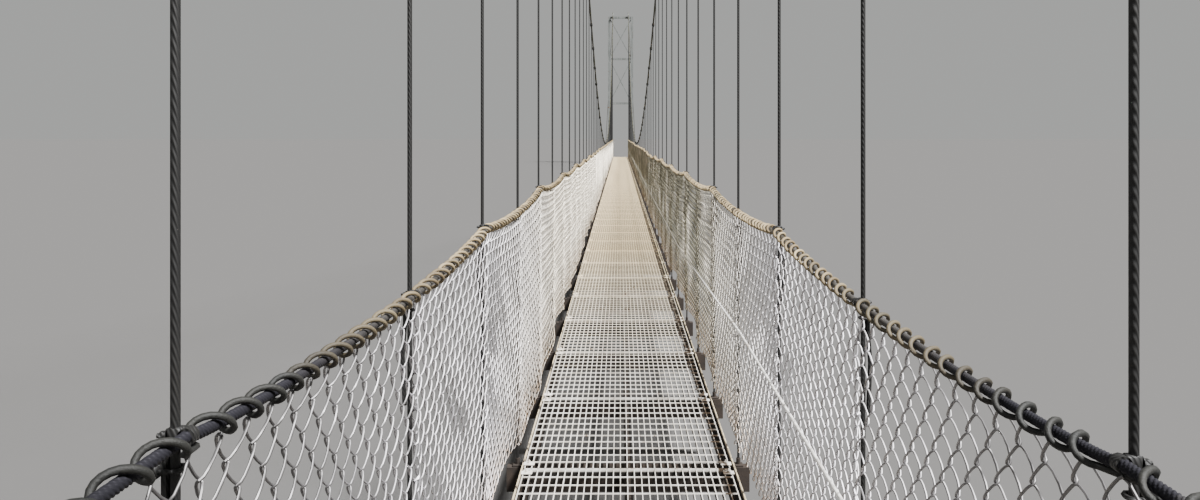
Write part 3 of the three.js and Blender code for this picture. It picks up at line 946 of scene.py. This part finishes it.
# Pieces on the main cables and hangers, and the bolts at the towers' and back-stays' feet
BAND = (real(46), real(70), real(46))
BAND_BOLT = real(13)
BAND_BOLT_Z = real(-24)
BAND_BOLTS_Y = (real(-20), real(20))
SHOE_PLATE = (real(46), real(46), real(10))
SHOE_NUT_RADIUS = real(11)
SHOE_NUT_HEIGHT = real(30)
SHOE_NUT_Z = real(24)
ANCHOR_BOLT = real(36)
BASE_BOLT_REACH = real(145)
STAY_BOLT_REACH = real(115)


def cable_height(y):
    """Height of a main cable's centre over the deck's middle line."""
    return CABLE_LOW_Z + CABLE_CURVE * y * y


def cable_half(side):
    """One half of a main cable's centre line, as the part's source lays it."""
    wrap = SADDLE_RADIUS + CABLE_DIAMETER / 2 + FIT
    span_angle = math.atan(2 * CABLE_CURVE * (TOWER_Y - wrap / 2))
    meet_y = TOWER_Y - wrap * math.sin(span_angle)
    saddle_z = cable_height(meet_y) - wrap * math.cos(span_angle)
    drop = math.atan2(saddle_z - LUG_TOP_Z, ANCHOR_POINT_Y - TOWER_Y)
    stay_angle = drop + math.asin(wrap / math.hypot(ANCHOR_POINT_Y - TOWER_Y, saddle_z - LUG_TOP_Z))
    points = []
    for i in range(BAYS // 2 + 1):
        y = min(i * BAY, meet_y - CABLE_LEAD)
        points.append((side * CABLE_X, y, cable_height(y)))
    for i in range(SADDLE_STEPS + 1):
        angle = -span_angle + (span_angle + stay_angle) * i / SADDLE_STEPS
        y = TOWER_Y + wrap * math.sin(angle)
        points.append((side * CABLE_X, y, saddle_z + wrap * math.cos(angle)))
    points.append((side * ANCHOR_X, ANCHOR_POINT_Y, LUG_TOP_Z))
    return points


def cables_and_hangers():
    """Main cables, hangers, the bands that hang them and the shoes that they stand in on the beams."""
    downwards = (math.pi, 0, 0)
    band_shell = block((0, 0, 0), BAND, real(8))
    band_bolts = [nut_on_bolt((0, y, BAND_BOLT_Z), BAND_BOLT, downwards) for y in BAND_BOLTS_Y]
    band_model = joined("band", [band_shell, *band_bolts])
    shoe_plate = block((0, 0, SHOE_PLATE[2] / 2), SHOE_PLATE, real(2))
    shoe_nut = round_bar((0, 0, SHOE_NUT_Z), SHOE_NUT_RADIUS, SHOE_NUT_HEIGHT)
    shoe_model = joined("shoe", [shoe_plate, shoe_nut])
    for side_name, side in SIDES.items():
        node = f"main_cable_and_hangers_{side_name}"
        half = cable_half(side)
        near_half = [(x, -y, z) for x, y, z in reversed(half[1:])]
        cable = swept(f"main_cable_{side_name}", [near_half + half], CABLE_ACROSS_FLATS, 8)
        finished(cable, "dark_wire_rope", [node], CABLE, smooth=60)
        x = side * CABLE_X
        lines = [[(x, y, BEAM_TOP + 2 * FIT), (x, y, cable_height(y))] for y in HANGERS]
        hangers = swept(f"hanger_ropes_{side_name}", lines, HANGER_DIAMETER, 8)
        finished(hangers, "dark_wire_rope", [node], smooth=60)
        bands = [((x, y, cable_height(y)), math.atan(2 * CABLE_CURVE * y)) for y in HANGERS]
        band_copy = copied(band_model, "band_copy")
        finished(spread(f"cable_bands_{side_name}", band_copy, bands), "dark_wire_rope")
        shoes = [((x, y, BEAM_TOP + FIT), 0.0) for y in HANGERS]
        shoe_copy = copied(shoe_model, "shoe_copy")
        finished(spread(f"hanger_shoes_{side_name}", shoe_copy, shoes), "rusted_steel")
    bpy.data.objects.remove(band_model)
    bpy.data.objects.remove(shoe_model)


def plate_corners(x, y, top, reach):
    """Places for four bolts on a plate, each with no tilt."""
    return [((x + dx, y + dy, top + FIT), 0.0) for dx in (-reach, reach) for dy in (-reach, reach)]


def tower_bolts():
    """Anchor bolts through the base plates of the towers and through the back-stays' plates."""
    places = []
    for end_name, end in ENDS.items():
        for side_name, side in SIDES.items():
            places += plate_corners(side * LEG_X, end * TOWER_Y, BASE_PLATE_TOP, BASE_BOLT_REACH)
            low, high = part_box(f"anchor_plate_{end_name}_{side_name}")
            plate_x = (low[0] + high[0]) / 2
            plate_y = (low[1] + high[1]) / 2
            places += plate_corners(plate_x, plate_y, ANCHOR_PLATE_TOP, STAY_BOLT_REACH)
    bolt = nut_on_bolt((0, 0, 0), ANCHOR_BOLT)
    finished(spread("anchor_bolts", bolt, places), "tower_steel")


def cad_finishes():
    """Materials of the CAD nodes that show as they are."""
    slots = {entry["node"]: entry["material_slot"] for entry in frame["record"]["subparts"]}
    for name, obj in frame["nodes"].items():
        obj.data.materials.clear()
        obj.data.materials.append(MATERIALS[slots[name]])


# Studio lights, each as its name, turn in degrees, strength and angle of softness
LIGHTS = (
    ("key_light", (20, 29, 0), 16.0, 9),
    ("fill_light", (30, -35, 0), 0.3, 60),
)
SURROUND_STRENGTH = 0.72
FLOOR_SIZE = 400
CAMERA_REACH = (0.02, 500)


def camera():
    """The photograph's camera: level, looking along the deck, framed by shift."""
    data = bpy.data.cameras.new("photograph")
    data.sensor_width = SENSOR
    data.lens = FOCAL
    data.shift_x = (PHOTO_CENTRE[0] - VANISHING_POINT[0]) / PHOTO_WIDTH
    data.shift_y = (VANISHING_POINT[1] - PHOTO_CENTRE[1]) / PHOTO_WIDTH
    data.clip_start, data.clip_end = CAMERA_REACH
    obj = bpy.data.objects.new("photograph", data)
    bpy.context.collection.objects.link(obj)
    obj.location = (EYE_X, -HALF_SPAN + EYE_INTO_SPAN, DECK_TOP + EYE_ABOVE_DECK)
    obj.rotation_euler = (math.pi / 2, 0, 0)
    bpy.context.scene.camera = obj


def studio():
    """A pale floor, a soft key light from high on the right and an even pale surround."""
    bpy.ops.object.select_all(action="DESELECT")
    bpy.ops.mesh.primitive_plane_add(size=FLOOR_SIZE, location=(0, 0, 0))
    floor = bpy.context.active_object
    floor.name = "studio_floor"
    paper, _, shader, _ = new_material("matt_floor_paper", 0.9, 0.0)
    shader.inputs["Base Color"].default_value = linear("565554")
    shader.inputs["Specular IOR Level"].default_value = 0.0
    floor.data.materials.append(paper)
    for name, angles, strength, softness in LIGHTS:
        light = bpy.data.lights.new(name, "SUN")
        light.energy = strength
        light.angle = math.radians(softness)
        lamp = bpy.data.objects.new(name, light)
        lamp.rotation_euler = [math.radians(angle) for angle in angles]
        bpy.context.collection.objects.link(lamp)
    world = bpy.data.worlds.new("studio")
    bpy.context.scene.world = world
    world.use_nodes = True
    background = world.node_tree.nodes["Background"]
    background.inputs["Color"].default_value = linear("c9cac8")
    background.inputs["Strength"].default_value = SURROUND_STRENGTH


camera()
studio()
cad_finishes()
deck_gratings()
grating_clips()
chain_link_sides()
handrails()
middle_rope()
cables_and_hangers()
tower_bolts()
